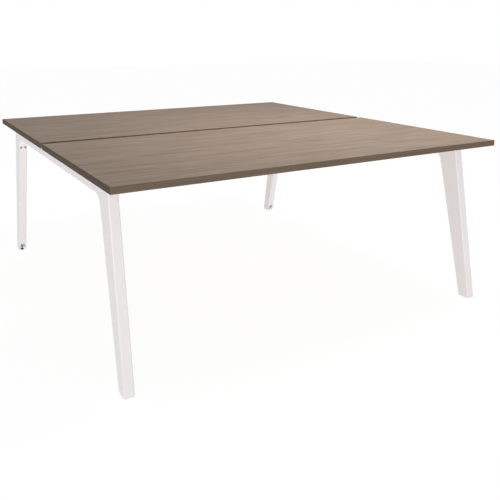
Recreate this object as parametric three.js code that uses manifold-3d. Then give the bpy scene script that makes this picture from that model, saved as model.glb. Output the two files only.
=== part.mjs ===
// A benching desk for two: two worktops side by side on a pair of white steel end frames.
// Millimetres, +Z up. X runs along the worktops, the front worktop is on -Y.
// The origin is on the floor, under the middle of the desk.
import * as THREE from 'three';
import { mergeVertices } from 'three/addons/utils/BufferGeometryUtils.js';
import Module from 'manifold-3d';

const wasm = await Module();
wasm.setup();

// Worktops
const DESK_HEIGHT = 750;
const TOP_LENGTH = 1800;
const TOP_DEPTH = 900;
const TOP_THICKNESS = 25;
const CABLE_GAP = 30;
const BAND_THICKNESS = 2;
const BAND_ROUND = 1.2;

// End frames
const FRAME_END_INSET = 40;
const FRAME_WIDTH = 40;
const STEEL_WALL = 2.5;
const BAR_HEIGHT = 60;
const BAR_ROUND = 5;
const LEG_ROUND = 5;
const LEG_TOP_INSET = 153;
const LEG_FOOT_INSET = 31;
const LEG_TOP_DEPTH = 105;
const LEG_FOOT_DEPTH = 56;
const LEG_FLOOR_GAP = 5;
const KNEE_RADIUS = 50;
const KNEE_OUTER_RADIUS = 9;

// Tongue that joins a leg to its crossbar
const TONGUE_THICKNESS = 6;
const TONGUE_SIDE_GAP = 2;
const TONGUE_BAR_REACH = 70;
const TONGUE_LEG_REACH = 75;

// Leg screws, a pair across the inner face below the knee
const LEG_SCREW_SPACING = 21;
const LEG_SCREW_BELOW_KNEE = 7;
const LEG_SCREW_RADIUS = 3;
const LEG_SCREW_LENGTH = 12;
const LEG_SCREW_HEAD_RADIUS = 5.5;
const LEG_SCREW_HEAD_HEIGHT = 3.3;

// Long beams between the end frames
const BEAM_HEIGHT = 60;
const BEAM_WIDTH = 30;
const BEAM_WALL = 2;
const BEAM_ROUND = 3;
const BEAM_PLATE_THICKNESS = 5;
const BEAM_PLATE_EAR = 30;
const BEAM_PLATE_HEIGHT = 52;
const BEAM_VENT_RADIUS = 8;
const BEAM_BOLT_RADIUS = 4;
const BEAM_BOLT_LENGTH = 20;
const BEAM_BOLT_HEAD_RADIUS = 7;
const BEAM_BOLT_HEAD_HEIGHT = 4.4;

// Tabs and wood screws that hold the worktops down
const TAB_REACH = 30;
const TAB_WIDTH = 40;
const TAB_GAP_INSET = 135;
const TAB_KNEE_INSET = 57;
const TOP_SCREW_RADIUS = 2.3;
const TOP_SCREW_LENGTH = 18;
const TOP_SCREW_HEAD_RADIUS = 4.8;
const TOP_SCREW_HEAD_HEIGHT = 2.6;

// Foot: notch, tapped plate, levelling stud and glide pad
const NOTCH_WIDTH = 25;
const NOTCH_HEIGHT = 37;
const NOTCH_ROUND = 7;
const FOOT_PLATE_THICKNESS = 6;
const FOOT_PLATE_ABOVE_NOTCH = 1;
const STUD_RADIUS = 5;
const STUD_ABOVE_PLATE = 20;
const STUD_TIP_RADIUS = 4;
const STUD_NECK = 1;
const STUD_HEX_FLATS = 17;
const STUD_HEX_HEIGHT = 7;
const STUD_CHAMFER = 1;
const PAD_RADIUS = 11;
const PAD_NECK_RADIUS = 8.5;
const PAD_RIM_HEIGHT = 4;
const PAD_HEIGHT = 9;
const PAD_SOCKET_DEPTH = 5;
const PAD_CHAMFER = 1;

// Clearance between pieces that seat in or on each other
const FIT = 0.3;

// Places worked out from the sizes above
const UNDERSIDE = DESK_HEIGHT - TOP_THICKNESS;
const DESK_DEPTH = 2 * TOP_DEPTH + CABLE_GAP;
const TOP_CENTRE_Y = (CABLE_GAP + TOP_DEPTH) / 2;
const FRAME_X = TOP_LENGTH / 2 - FRAME_END_INSET - FRAME_WIDTH / 2;
const BAR_BOTTOM = UNDERSIDE - BAR_HEIGHT;
const OUTER_TOP_Y = DESK_DEPTH / 2 - LEG_TOP_INSET;
const OUTER_FOOT_Y = DESK_DEPTH / 2 - LEG_FOOT_INSET;
const INNER_TOP_Y = OUTER_TOP_Y - LEG_TOP_DEPTH;
const INNER_FOOT_Y = OUTER_FOOT_Y - LEG_FOOT_DEPTH;
const OUTER_LEAN = Math.atan((OUTER_FOOT_Y - OUTER_TOP_Y) / UNDERSIDE);
const INNER_LEAN = Math.atan((INNER_FOOT_Y - INNER_TOP_Y) / UNDERSIDE);
const outerY = (z) => OUTER_FOOT_Y - Math.tan(OUTER_LEAN) * z;
const innerY = (z) => INNER_FOOT_Y - Math.tan(INNER_LEAN) * z;
const KNEE_Z = BAR_BOTTOM - KNEE_RADIUS;
const KNEE_Y = innerY(KNEE_Z) - KNEE_RADIUS / Math.cos(INNER_LEAN);
const CAVITY_WIDTH = FRAME_WIDTH - 2 * STEEL_WALL;
const HEX_BOTTOM = PAD_HEIGHT + STUD_NECK;
const HEX_TOP = HEX_BOTTOM + STUD_HEX_HEIGHT;
const NOTCH_TOP = LEG_FLOOR_GAP + NOTCH_HEIGHT;
const FOOT_PLATE_UNDERSIDE = NOTCH_TOP + FOOT_PLATE_ABOVE_NOTCH;
const FOOT_PLATE_TOP = FOOT_PLATE_UNDERSIDE + FOOT_PLATE_THICKNESS;
const GLIDE_Y = (innerY(LEG_FLOOR_GAP) + outerY(LEG_FLOOR_GAP)) / 2;

const X = new THREE.Vector3(1, 0, 0);
const Y = new THREE.Vector3(0, 1, 0);
const Z = new THREE.Vector3(0, 0, 1);

const paint = {
  laminate: { color: 0x94877a, roughness: 0.55, metalness: 0 },
  band: { color: 0x655a50, roughness: 0.5, metalness: 0 },
  lacquer: { color: 0xf1f0ee, roughness: 0.4, metalness: 0.1 },
  zinc: { color: 0xb9bcc0, roughness: 0.35, metalness: 1 },
  glide: { color: 0x2b2b2d, roughness: 0.65, metalness: 0 },
};

// Solid helpers

function solid(geometry) {
  const bare = geometry.clone();
  bare.deleteAttribute('normal');
  bare.deleteAttribute('uv');
  const merged = mergeVertices(bare, 1e-4);
  return new wasm.Manifold(new wasm.Mesh({
    numProp: 3,
    vertProperties: new Float32Array(merged.attributes.position.array),
    triVerts: new Uint32Array(merged.index.array),
  }));
}

function geometryOf(body) {
  const mesh = body.getMesh();
  const geometry = new THREE.BufferGeometry();
  geometry.setAttribute('position', new THREE.BufferAttribute(mesh.vertProperties, 3));
  geometry.setIndex(new THREE.BufferAttribute(mesh.triVerts, 1));
  geometry.computeVertexNormals();
  return geometry;
}

const cut = (body, ...tools) => tools.reduce((rest, tool) => rest.subtract(solid(tool)), body);
const join = (body, ...extras) => extras.reduce((whole, extra) => whole.add(solid(extra)), body);

function box(sizeX, sizeY, sizeZ, x, y, z) {
  return new THREE.BoxGeometry(sizeX, sizeY, sizeZ).translate(x, y, z);
}

function roundedRectangle(width, height, radius, path = new THREE.Shape()) {
  const w = width / 2 - radius;
  const h = height / 2 - radius;
  path.absarc(w, -h, radius, -Math.PI / 2, 0);
  path.absarc(w, h, radius, 0, Math.PI / 2);
  path.absarc(-w, h, radius, Math.PI / 2, Math.PI);
  path.absarc(-w, -h, radius, Math.PI, 1.5 * Math.PI);
  path.closePath();
  return path;
}

// Extrusions, centred on the plane of their outline: an outline in (y, z) runs along X,
// one in (x, z) along Y, and a round edge of the given radius can replace the sharp end edges.
function extrudeX(shape, length, round = 0, curveSegments = 6) {
  const geometry = extrudeCentred(shape, length, round, curveSegments);
  return geometry.applyMatrix4(new THREE.Matrix4().makeBasis(Y, Z, X));
}

function extrudeY(shape, length, curveSegments = 3) {
  const geometry = extrudeCentred(shape, length, 0, curveSegments);
  return geometry.applyMatrix4(new THREE.Matrix4().makeBasis(X, Z, Y.clone().negate()));
}

function extrudeCentred(shape, length, round, curveSegments) {
  const geometry = new THREE.ExtrudeGeometry(shape, {
    depth: length - 2 * round,
    curveSegments,
    bevelEnabled: round > 0,
    bevelThickness: round,
    bevelSize: round,
    bevelOffset: -round,
    bevelSegments: 3,
  });
  return geometry.translate(0, 0, round - length / 2);
}

// A rod along a direction, starting at a point.
function rod(radius, length, start, direction, sides = 12) {
  const geometry = new THREE.CylinderGeometry(radius, radius, length, sides);
  geometry.translate(0, length / 2, 0);
  geometry.applyQuaternion(new THREE.Quaternion().setFromUnitVectors(Y, direction));
  return geometry.translate(start.x, start.y, start.z);
}

// A screw with a domed head: the seat of its head is at the origin and its shank runs along +Y.
function screw(shankRadius, shankLength, headRadius, headHeight) {
  const profile = [
    [0, -headHeight],
    [headRadius * 0.6, -headHeight],
    [headRadius, -headHeight * 0.35],
    [headRadius, 0],
    [shankRadius, 0],
    [shankRadius, shankLength],
    [0, shankLength],
  ];
  return new THREE.LatheGeometry(profile.map(([r, y]) => new THREE.Vector2(r, y)), 10);
}

function piece(name, geometry, finish) {
  const mesh = new THREE.Mesh(geometry, new THREE.MeshStandardMaterial(paint[finish]));
  mesh.name = name;
  return mesh;
}

// Worktops

const desk = new THREE.Group();

// Places of the two tabs under each worktop, as distances from the middle of the desk.
const TAB_PLACES = [CABLE_GAP / 2 + TAB_GAP_INSET, KNEE_Y - TAB_KNEE_INSET];
const TAB_X = FRAME_X - FRAME_WIDTH / 2 - TAB_REACH / 2;

function worktop(name, side) {
  const group = new THREE.Group();
  group.position.y = side * TOP_CENTRE_Y;
  const middle = UNDERSIDE + TOP_THICKNESS / 2;
  const coreLength = TOP_LENGTH - 2 * BAND_THICKNESS;
  const coreDepth = TOP_DEPTH - 2 * BAND_THICKNESS;
  const board = solid(box(coreLength, coreDepth, TOP_THICKNESS, 0, 0, middle));
  const pilotDepth = TOP_SCREW_LENGTH - STEEL_WALL + 2 * FIT;
  const pilots = [];
  for (const end of [-1, 1]) {
    for (const place of TAB_PLACES) {
      const mouth = new THREE.Vector3(end * TAB_X, side * (place - TOP_CENTRE_Y), UNDERSIDE - 1);
      pilots.push(rod(TOP_SCREW_RADIUS + FIT, pilotDepth + 1, mouth, Z));
    }
  }
  group.add(piece(`${name}_board`, geometryOf(cut(board, ...pilots)), 'laminate'));

  // A band's section: square against the board, round on its two outer arrises.
  const section = new THREE.Shape();
  const half = TOP_THICKNESS / 2;
  section.moveTo(0, -half);
  section.absarc(BAND_THICKNESS - BAND_ROUND, BAND_ROUND - half, BAND_ROUND, -Math.PI / 2, 0);
  section.absarc(BAND_THICKNESS - BAND_ROUND, half - BAND_ROUND, BAND_ROUND, 0, Math.PI / 2);
  section.lineTo(0, half);
  const band = (place, length, turn, x, y) => {
    const mesh = piece(`${name}_band_${place}`, extrudeY(section, length), 'band');
    mesh.rotation.z = turn;
    mesh.position.set(x, y, middle);
    group.add(mesh);
  };
  band('right', TOP_DEPTH - 2 * BAND_THICKNESS, 0, coreLength / 2, 0);
  band('left', TOP_DEPTH - 2 * BAND_THICKNESS, Math.PI, -coreLength / 2, 0);
  band('rear', TOP_LENGTH, Math.PI / 2, 0, coreDepth / 2);
  band('front', TOP_LENGTH, -Math.PI / 2, 0, -coreDepth / 2);
  return group;
}

desk.add(worktop('front_top', -1), worktop('rear_top', 1));

// Long beams under the middle of each worktop, each with a plate welded to both ends

const BAR_INNER_X = FRAME_X - FRAME_WIDTH / 2;
const BEAM_TOP = UNDERSIDE - FIT;
const BEAM_MIDDLE_Z = BEAM_TOP - BEAM_HEIGHT / 2;
const PLATE_X = BAR_INNER_X - FIT - BEAM_PLATE_THICKNESS / 2;
const BEAM_BOLT_Y = (BEAM_WIDTH + BEAM_PLATE_EAR) / 2;

function tubeSection(width, height, wall, round) {
  const section = roundedRectangle(width, height, round);
  section.holes.push(roundedRectangle(width - 2 * wall, height - 2 * wall, round - wall, new THREE.Path()));
  return section;
}

function beam(name, y) {
  const length = 2 * (PLATE_X - BEAM_PLATE_THICKNESS / 2);
  const overlap = 1;
  const section = tubeSection(BEAM_WIDTH, BEAM_HEIGHT, BEAM_WALL, BEAM_ROUND);
  let body = solid(extrudeX(section, length + 2 * overlap, 0, 3).translate(0, 0, BEAM_MIDDLE_Z));
  for (const end of [-1, 1]) {
    const plateWidth = BEAM_WIDTH + 2 * BEAM_PLATE_EAR;
    const plate = box(BEAM_PLATE_THICKNESS, plateWidth, BEAM_PLATE_HEIGHT, end * PLATE_X, 0, BEAM_MIDDLE_Z);
    const across = (radius, offset) => rod(
      radius,
      2 * BEAM_PLATE_THICKNESS,
      new THREE.Vector3(end * PLATE_X - BEAM_PLATE_THICKNESS, offset, BEAM_MIDDLE_Z),
      X,
    );
    const bolts = [-1, 1].map((side) => across(BEAM_BOLT_RADIUS + FIT, side * BEAM_BOLT_Y));
    body = cut(join(body, plate), across(BEAM_VENT_RADIUS, 0), ...bolts);
  }
  const mesh = piece(name, geometryOf(body), 'lacquer');
  mesh.position.y = y;
  return mesh;
}

const BEAMS = [['front', -TOP_CENTRE_Y], ['rear', TOP_CENTRE_Y]];
for (const [name, y] of BEAMS) desk.add(beam(`${name}_beam`, y));

// The four bolts of a beam go through its plates and into the crossbars.
for (const [name, y] of BEAMS) {
  for (const [end, side] of [['left', -1], ['right', 1]]) {
    for (const [place, offset] of [['a', -1], ['b', 1]]) {
      const head = screw(BEAM_BOLT_RADIUS, BEAM_BOLT_LENGTH, BEAM_BOLT_HEAD_RADIUS, BEAM_BOLT_HEAD_HEIGHT);
      const bolt = piece(`${name}_beam_bolt_${end}_${place}`, head, 'zinc');
      bolt.rotation.z = -side * Math.PI / 2;
      const seat = PLATE_X - BEAM_PLATE_THICKNESS / 2 - FIT;
      bolt.position.set(side * seat, y + offset * BEAM_BOLT_Y, BEAM_MIDDLE_Z);
      desk.add(bolt);
    }
  }
}

// Crossbars: a rounded tube with tabs welded to its inner side, modelled for the right end

function crossbar(name, turn) {
  const section = tubeSection(FRAME_WIDTH, BAR_HEIGHT, STEEL_WALL, BAR_ROUND);
  const middleZ = UNDERSIDE - BAR_HEIGHT / 2;
  let body = solid(extrudeY(section, 2 * (KNEE_Y - FIT)).translate(FRAME_X, 0, middleZ));
  const tabRoot = BAR_ROUND;
  const tabZ = UNDERSIDE - STEEL_WALL;
  for (const side of [-1, 1]) {
    for (const place of TAB_PLACES) {
      const tab = box(TAB_REACH + tabRoot, TAB_WIDTH, STEEL_WALL, 0, 0, 0);
      tab.translate(TAB_X + tabRoot / 2, side * place, tabZ + STEEL_WALL / 2);
      const start = new THREE.Vector3(TAB_X, side * place, tabZ - 1);
      body = cut(join(body, tab), rod(TOP_SCREW_RADIUS + FIT, STEEL_WALL + 2, start, Z));
    }
    for (const offset of [-1, 1]) {
      const y = side * TOP_CENTRE_Y + offset * BEAM_BOLT_Y;
      const start = new THREE.Vector3(BAR_INNER_X - STEEL_WALL, y, BEAM_MIDDLE_Z);
      body = cut(body, rod(BEAM_BOLT_RADIUS + FIT, 3 * STEEL_WALL, start, X));
    }
  }
  const mesh = piece(name, geometryOf(body), 'lacquer');
  mesh.rotation.z = turn;
  return mesh;
}

desk.add(crossbar('right_crossbar', 0), crossbar('left_crossbar', Math.PI));

// Wood screws, up through the tabs into the boards
for (const [top, side] of [['front_top', -1], ['rear_top', 1]]) {
  for (const [end, way] of [['left', -1], ['right', 1]]) {
    TAB_PLACES.forEach((place, index) => {
      const form = screw(TOP_SCREW_RADIUS, TOP_SCREW_LENGTH, TOP_SCREW_HEAD_RADIUS, TOP_SCREW_HEAD_HEIGHT);
      const mesh = piece(`${top}_screw_${end}_${index + 1}`, form.rotateX(Math.PI / 2), 'zinc');
      mesh.position.set(way * TAB_X, side * place, UNDERSIDE - STEEL_WALL - FIT);
      desk.add(mesh);
    });
  }
}

// Legs. Everything at a corner is modelled for the one on +Y, around the middle of the leg's width.

// The leg's side view in (y, z), with every wall moved inwards by an inset.
// It runs past the end of the crossbar and past the floor end by the overrun, to be cut square.
function legOutline(inset, overrun) {
  const outer = (z) => outerY(z) - inset / Math.cos(OUTER_LEAN);
  const inner = (z) => innerY(z) + inset / Math.cos(INNER_LEAN);
  const barEnd = KNEE_Y - overrun;
  const foot = LEG_FLOOR_GAP - overrun;
  const outerCornerZ = UNDERSIDE - KNEE_OUTER_RADIUS;
  const outerCornerY = outerY(outerCornerZ) - KNEE_OUTER_RADIUS / Math.cos(OUTER_LEAN);
  const shape = new THREE.Shape();
  shape.moveTo(barEnd, BAR_BOTTOM + inset);
  shape.absarc(KNEE_Y, KNEE_Z, KNEE_RADIUS + inset, Math.PI / 2, INNER_LEAN, true);
  shape.lineTo(inner(foot), foot);
  shape.lineTo(outer(foot), foot);
  shape.absarc(outerCornerY, outerCornerZ, KNEE_OUTER_RADIUS - inset, OUTER_LEAN, Math.PI / 2);
  shape.lineTo(barEnd, UNDERSIDE - inset);
  return shape;
}

// Leg screws sit square to the leg's inner face.
const SCREW_Z = KNEE_Z + KNEE_RADIUS * Math.sin(INNER_LEAN) - LEG_SCREW_BELOW_KNEE;
const SCREW_WAY = new THREE.Vector3(0, Math.cos(INNER_LEAN), Math.sin(INNER_LEAN));
const SCREW_PLACES = [['a', -1], ['b', 1]].map(([name, side]) => {
  return [name, new THREE.Vector3(side * LEG_SCREW_SPACING / 2, innerY(SCREW_Z), SCREW_Z)];
});

function screwHoles(depth) {
  return SCREW_PLACES.map(([, place]) => {
    const start = place.clone().addScaledVector(SCREW_WAY, -depth / 2);
    return rod(LEG_SCREW_RADIUS + FIT, depth, start, SCREW_WAY);
  });
}

function leg() {
  const overrun = 3 * LEG_ROUND;
  const reach = 2 * overrun;
  const body = cut(
    solid(extrudeX(legOutline(0, overrun), FRAME_WIDTH, LEG_ROUND)),
    extrudeX(legOutline(STEEL_WALL, reach), CAVITY_WIDTH),
    box(2 * FRAME_WIDTH, reach, 2 * BAR_HEIGHT, 0, KNEE_Y - reach / 2, BAR_BOTTOM),
    box(2 * FRAME_WIDTH, 2 * DESK_DEPTH, reach, 0, 0, LEG_FLOOR_GAP - reach / 2),
  );
  const notch = roundedRectangle(NOTCH_WIDTH, 2 * NOTCH_HEIGHT, NOTCH_ROUND);
  const notchDepth = 3 * STEEL_WALL + innerY(LEG_FLOOR_GAP) - innerY(NOTCH_TOP);
  const notchY = (innerY(LEG_FLOOR_GAP) + innerY(NOTCH_TOP)) / 2;
  const notchTool = extrudeY(notch, notchDepth).translate(0, notchY, LEG_FLOOR_GAP);
  return cut(body, notchTool, ...screwHoles(4 * STEEL_WALL));
}

// The tongue lies on the inside of the crossbar's floor, follows the knee and goes down the leg.
function tongue() {
  const near = STEEL_WALL + FIT;
  const far = near + TONGUE_THICKNESS;
  const start = KNEE_Y - TONGUE_BAR_REACH;
  const end = KNEE_Z - TONGUE_LEG_REACH;
  const wall = (z, inset) => innerY(z) + inset / Math.cos(INNER_LEAN);
  const shape = new THREE.Shape();
  shape.moveTo(start, BAR_BOTTOM + near);
  shape.absarc(KNEE_Y, KNEE_Z, KNEE_RADIUS + near, Math.PI / 2, INNER_LEAN, true);
  shape.lineTo(wall(end, near), end);
  shape.lineTo(wall(end, far), end);
  shape.absarc(KNEE_Y, KNEE_Z, KNEE_RADIUS + far, INNER_LEAN, Math.PI / 2);
  shape.lineTo(start, BAR_BOTTOM + far);
  const width = CAVITY_WIDTH - 2 * TONGUE_SIDE_GAP;
  return cut(solid(extrudeX(shape, width)), ...screwHoles(4 * (near + TONGUE_THICKNESS)));
}

// The tapped plate fills the foot from wall to wall, just above the notch.
function footPlate() {
  const inset = STEEL_WALL + FIT;
  const low = FOOT_PLATE_UNDERSIDE;
  const high = FOOT_PLATE_TOP;
  const inner = (z) => innerY(z) + inset / Math.cos(INNER_LEAN);
  const outer = (z) => outerY(z) - inset / Math.cos(OUTER_LEAN);
  const shape = new THREE.Shape();
  shape.moveTo(inner(low), low);
  shape.lineTo(outer(low), low);
  shape.lineTo(outer(high), high);
  shape.lineTo(inner(high), high);
  const start = new THREE.Vector3(0, GLIDE_Y, low - 1);
  const tapped = rod(STUD_RADIUS + FIT, FOOT_PLATE_THICKNESS + 2, start, Z, 16);
  return cut(solid(extrudeX(shape, CAVITY_WIDTH - 2 * FIT)), tapped);
}

function turned(profile, sides) {
  const points = profile.map(([r, z]) => new THREE.Vector2(r, z));
  return new THREE.LatheGeometry(points, sides).rotateX(Math.PI / 2);
}

// The stud stands in the pad's socket. A spanner turns its hexagon through the notch,
// and its thread goes up through the plate.
function stud() {
  const tip = PAD_HEIGHT - PAD_SOCKET_DEPTH + FIT;
  const top = FOOT_PLATE_TOP + STUD_ABOVE_PLATE;
  const hexMiddle = (HEX_BOTTOM + HEX_TOP) / 2;
  const shaft = turned([
    [0, tip],
    [STUD_TIP_RADIUS, tip],
    [STUD_TIP_RADIUS, hexMiddle],
    [STUD_RADIUS, hexMiddle],
    [STUD_RADIUS, top - STUD_CHAMFER],
    [STUD_RADIUS - STUD_CHAMFER, top],
    [0, top],
  ], 16);
  const hexRadius = STUD_HEX_FLATS / Math.sqrt(3);
  const hexagon = rod(hexRadius, STUD_HEX_HEIGHT, new THREE.Vector3(0, 0, HEX_BOTTOM), Z, 6);
  return join(solid(shaft), hexagon);
}

function pad() {
  return turned([
    [0, 0],
    [PAD_RADIUS - PAD_CHAMFER, 0],
    [PAD_RADIUS, PAD_CHAMFER],
    [PAD_RADIUS, PAD_RIM_HEIGHT],
    [PAD_NECK_RADIUS, PAD_HEIGHT],
    [STUD_TIP_RADIUS + FIT, PAD_HEIGHT],
    [STUD_TIP_RADIUS + FIT, PAD_HEIGHT - PAD_SOCKET_DEPTH],
    [0, PAD_HEIGHT - PAD_SOCKET_DEPTH],
  ], 24);
}

function corner(name, x, turn) {
  const group = new THREE.Group();
  group.position.x = x;
  group.rotation.z = turn;
  group.add(piece(`${name}_leg`, geometryOf(leg()), 'lacquer'));
  group.add(piece(`${name}_knee_tongue`, geometryOf(tongue()), 'zinc'));
  for (const [place, point] of SCREW_PLACES) {
    const form = screw(LEG_SCREW_RADIUS, LEG_SCREW_LENGTH, LEG_SCREW_HEAD_RADIUS, LEG_SCREW_HEAD_HEIGHT);
    const mesh = piece(`${name}_leg_screw_${place}`, form, 'zinc');
    mesh.quaternion.setFromUnitVectors(Y, SCREW_WAY);
    mesh.position.copy(point).addScaledVector(SCREW_WAY, -FIT);
    group.add(mesh);
  }
  group.add(piece(`${name}_foot_plate`, geometryOf(footPlate()), 'zinc'));
  const glide = new THREE.Group();
  glide.position.y = GLIDE_Y;
  glide.add(piece(`${name}_glide_stud`, geometryOf(stud()), 'zinc'));
  glide.add(piece(`${name}_glide_pad`, pad(), 'glide'));
  group.add(glide);
  return group;
}

desk.add(
  corner('left_front', -FRAME_X, Math.PI),
  corner('left_rear', -FRAME_X, 0),
  corner('right_front', FRAME_X, Math.PI),
  corner('right_rear', FRAME_X, 0),
);

export default desk;
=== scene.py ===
# %% [markdown]
# # A benching desk for two
#
# Two grey oak worktops lie edge to edge on a pair of white steel end frames, with a narrow gap for cables
# between them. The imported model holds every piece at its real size, so this lesson only makes the surfaces
# that the eye sees. It keeps the CAD solids whose shape is already right, models the rounded, hollow and
# threaded pieces anew, and gives each of them the finish of its real material. Everything is in metres, in
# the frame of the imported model.

import math

import bmesh
import bpy
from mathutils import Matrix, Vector


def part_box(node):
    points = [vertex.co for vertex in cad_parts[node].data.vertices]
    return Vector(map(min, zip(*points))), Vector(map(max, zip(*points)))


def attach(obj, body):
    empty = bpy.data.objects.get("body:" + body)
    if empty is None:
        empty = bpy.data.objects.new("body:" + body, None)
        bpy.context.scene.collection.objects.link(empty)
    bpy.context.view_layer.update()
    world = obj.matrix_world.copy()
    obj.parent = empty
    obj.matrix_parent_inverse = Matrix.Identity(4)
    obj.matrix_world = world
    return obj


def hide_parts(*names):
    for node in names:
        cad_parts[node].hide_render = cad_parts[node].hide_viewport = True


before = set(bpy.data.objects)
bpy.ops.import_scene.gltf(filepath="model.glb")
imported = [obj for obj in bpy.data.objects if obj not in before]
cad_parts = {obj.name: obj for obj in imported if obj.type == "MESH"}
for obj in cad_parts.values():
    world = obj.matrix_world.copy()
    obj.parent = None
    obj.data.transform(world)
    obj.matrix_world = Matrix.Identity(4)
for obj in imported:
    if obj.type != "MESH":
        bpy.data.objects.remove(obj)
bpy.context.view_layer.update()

MM = 0.001
TOPS = ("front_top", "rear_top")
BEAMS = ("front_beam", "rear_beam")
ENDS = {"left": -1, "right": 1}

# %% [markdown]
# ## Camera
#
# The photograph keeps its uprights upright, which a photographer gets by pointing the camera level and
# shifting the lens downwards. A shift could do all of that here too, but it stays in every other view and
# would push the desk out of the picture there. So most of the framing comes from a small tilt, and a shift
# of a quarter of the picture does the rest.

# %% Camera
CAMERA_PLACE = (-1.5273, -2.7867, 1.2279)
CAMERA_YAW = math.radians(29.486)
CAMERA_TILT = math.radians(8.244)
CAMERA_LENS = 45.77
CAMERA_SENSOR = 36
CAMERA_SHIFT = (0.040, -0.250)

bpy.ops.object.select_all(action="DESELECT")
bpy.ops.object.camera_add(location=CAMERA_PLACE, rotation=(math.pi / 2 - CAMERA_TILT, 0, -CAMERA_YAW))
camera = bpy.context.object
camera.data.sensor_width = CAMERA_SENSOR
camera.data.lens = CAMERA_LENS
camera.data.shift_x, camera.data.shift_y = CAMERA_SHIFT
bpy.context.scene.camera = camera
bpy.context.scene.view_settings.view_transform = "Standard"

print("camera", [round(c, 3) for c in camera.location], "lens", round(camera.data.lens, 2), "mm")

# %% [markdown]
# ## Building materials from nodes
#
# A material is a small graph. Adding a node, setting it and linking it are always the same three moves,
# so one short function makes them, and it takes plain values and links alike. Colours are written as the
# hex values that a colour picker shows; the renderer counts in linear light, so one more function turns
# them over.


# %% Node and colour helpers
def add(tree, kind, inputs=None, **settings):
    """Adds a node with its settings. An input that is a socket is linked, any other is a plain value."""
    node = tree.nodes.new(kind)
    for name, value in settings.items():
        setattr(node, name, value)
    for name, value in (inputs or {}).items():
        if isinstance(value, bpy.types.NodeSocket):
            tree.links.new(value, node.inputs[name])
        else:
            node.inputs[name].default_value = value
    return node


def linear(hex_colour):
    """The linear colour of an sRGB hex value such as #9c8c7e."""
    shares = [int(hex_colour[i:i + 2], 16) / 255 for i in (1, 3, 5)]
    return [s / 12.92 if s <= 0.04045 else ((s + 0.055) / 1.055) ** 2.4 for s in shares] + [1.0]


def new_material(name):
    """An empty node material, and its node tree."""
    material = bpy.data.materials.new(name)
    material.use_nodes = True
    material.node_tree.nodes.clear()
    return material, material.node_tree


print("node helpers ready; #808080 is", round(linear("#808080")[0], 4), "in linear light")

# %% [markdown]
# ## Light and floor
#
# A desk for a catalogue is lit softly from all round, on white ground. A picture of a studio could give
# that light, but a few plain values are easier to balance. A world of even light does most of it. It is
# white where it is seen or mirrored, and weaker where it only lights the desk.

# %% White world
WHITE = (1, 1, 1, 1)
WORLD_LIGHT = 0.37
WORLD_SEEN = 1.0


def seen_or_mirrored(tree):
    """1 for camera, glossy and transmission rays, and 0 for the rays that carry light to a surface."""
    path = add(tree, "ShaderNodeLightPath")
    seen = path.outputs["Is Camera Ray"]
    for ray in ("Is Glossy Ray", "Is Transmission Ray"):
        seen = add(tree, "ShaderNodeMath", {0: seen, 1: path.outputs[ray]}, operation="MAXIMUM").outputs[0]
    return seen


world = bpy.data.worlds.new("white_studio")
world.use_nodes = True
tree = world.node_tree
tree.nodes.clear()
lighting = add(tree, "ShaderNodeBackground", {"Color": WHITE, "Strength": WORLD_LIGHT})
shown = add(tree, "ShaderNodeBackground", {"Color": WHITE, "Strength": WORLD_SEEN})
sky = add(tree, "ShaderNodeMixShader", {
    0: seen_or_mirrored(tree),
    1: lighting.outputs[0],
    2: shown.outputs[0],
})
add(tree, "ShaderNodeOutputWorld", {"Surface": sky.outputs[0]})
bpy.context.scene.world = world

print("white world with a light of", WORLD_LIGHT)

# %% [markdown]
# Two large lamps give the desk its shape. One hangs over its right-hand side and adds the slow brightening
# of the worktops towards it. The other stands low and far off at the front left. It keeps the two faces of
# each leg apart and draws a light line along the arris between them, and from so far away it lights all
# four legs alike.


# %% Lamps
def soft_lamp(name, place, aim, width, height, power):
    """A large flat lamp at a place, turned to face a point."""
    way = Vector(aim) - Vector(place)
    bpy.ops.object.light_add(type="AREA", location=place, rotation=way.to_track_quat("-Z", "Y").to_euler())
    lamp = bpy.context.object
    lamp.name = name
    lamp.data.shape = "RECTANGLE"
    lamp.data.size = width
    lamp.data.size_y = height
    lamp.data.energy = power
    return lamp


lamps = [
    soft_lamp("top_lamp", place=(0.6, -0.4, 2.3), aim=(0.55, -0.25, 0.7), width=1.2, height=1.2, power=22),
    soft_lamp("front_lamp", place=(-5.6, -9.8, 0.75), aim=(0, -0.3, 0.4), width=4.0, height=1.5, power=360),
]

print("lamps:", {lamp.name: lamp.data.energy for lamp in lamps}, "W")

# %% [markdown]
# White ground throws light back up under the desk, so the floor glows for the rays that carry light to a
# surface. The camera and mirror-like reflections see it nearly white, with a trace of its real, shaded
# surface, so that the desk still drops a faint shadow.

# %% Floor
FLOOR_SIZE = 40
FLOOR_PAINT = "#fafafa"
FLOOR_BOUNCE = 0.50
FLOOR_TRACE = "#757575"
FLOOR_GLOW = 0.92

bpy.ops.mesh.primitive_plane_add(size=FLOOR_SIZE)
floor = bpy.context.object
floor.name = "studio_floor"
material, tree = new_material("white_studio_floor")
paint = add(tree, "ShaderNodeBsdfDiffuse", {"Color": linear(FLOOR_PAINT)})
bounce = add(tree, "ShaderNodeEmission", {"Color": WHITE, "Strength": FLOOR_BOUNCE})
lighting = add(tree, "ShaderNodeAddShader", {0: paint.outputs[0], 1: bounce.outputs[0]})
glow = add(tree, "ShaderNodeEmission", {"Color": WHITE, "Strength": FLOOR_GLOW})
trace = add(tree, "ShaderNodeBsdfDiffuse", {"Color": linear(FLOOR_TRACE)})
shown = add(tree, "ShaderNodeAddShader", {0: glow.outputs[0], 1: trace.outputs[0]})
ground = add(tree, "ShaderNodeMixShader", {
    0: seen_or_mirrored(tree),
    1: lighting.outputs[0],
    2: shown.outputs[0],
})
add(tree, "ShaderNodeOutputMaterial", {"Surface": ground.outputs[0]})
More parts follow.
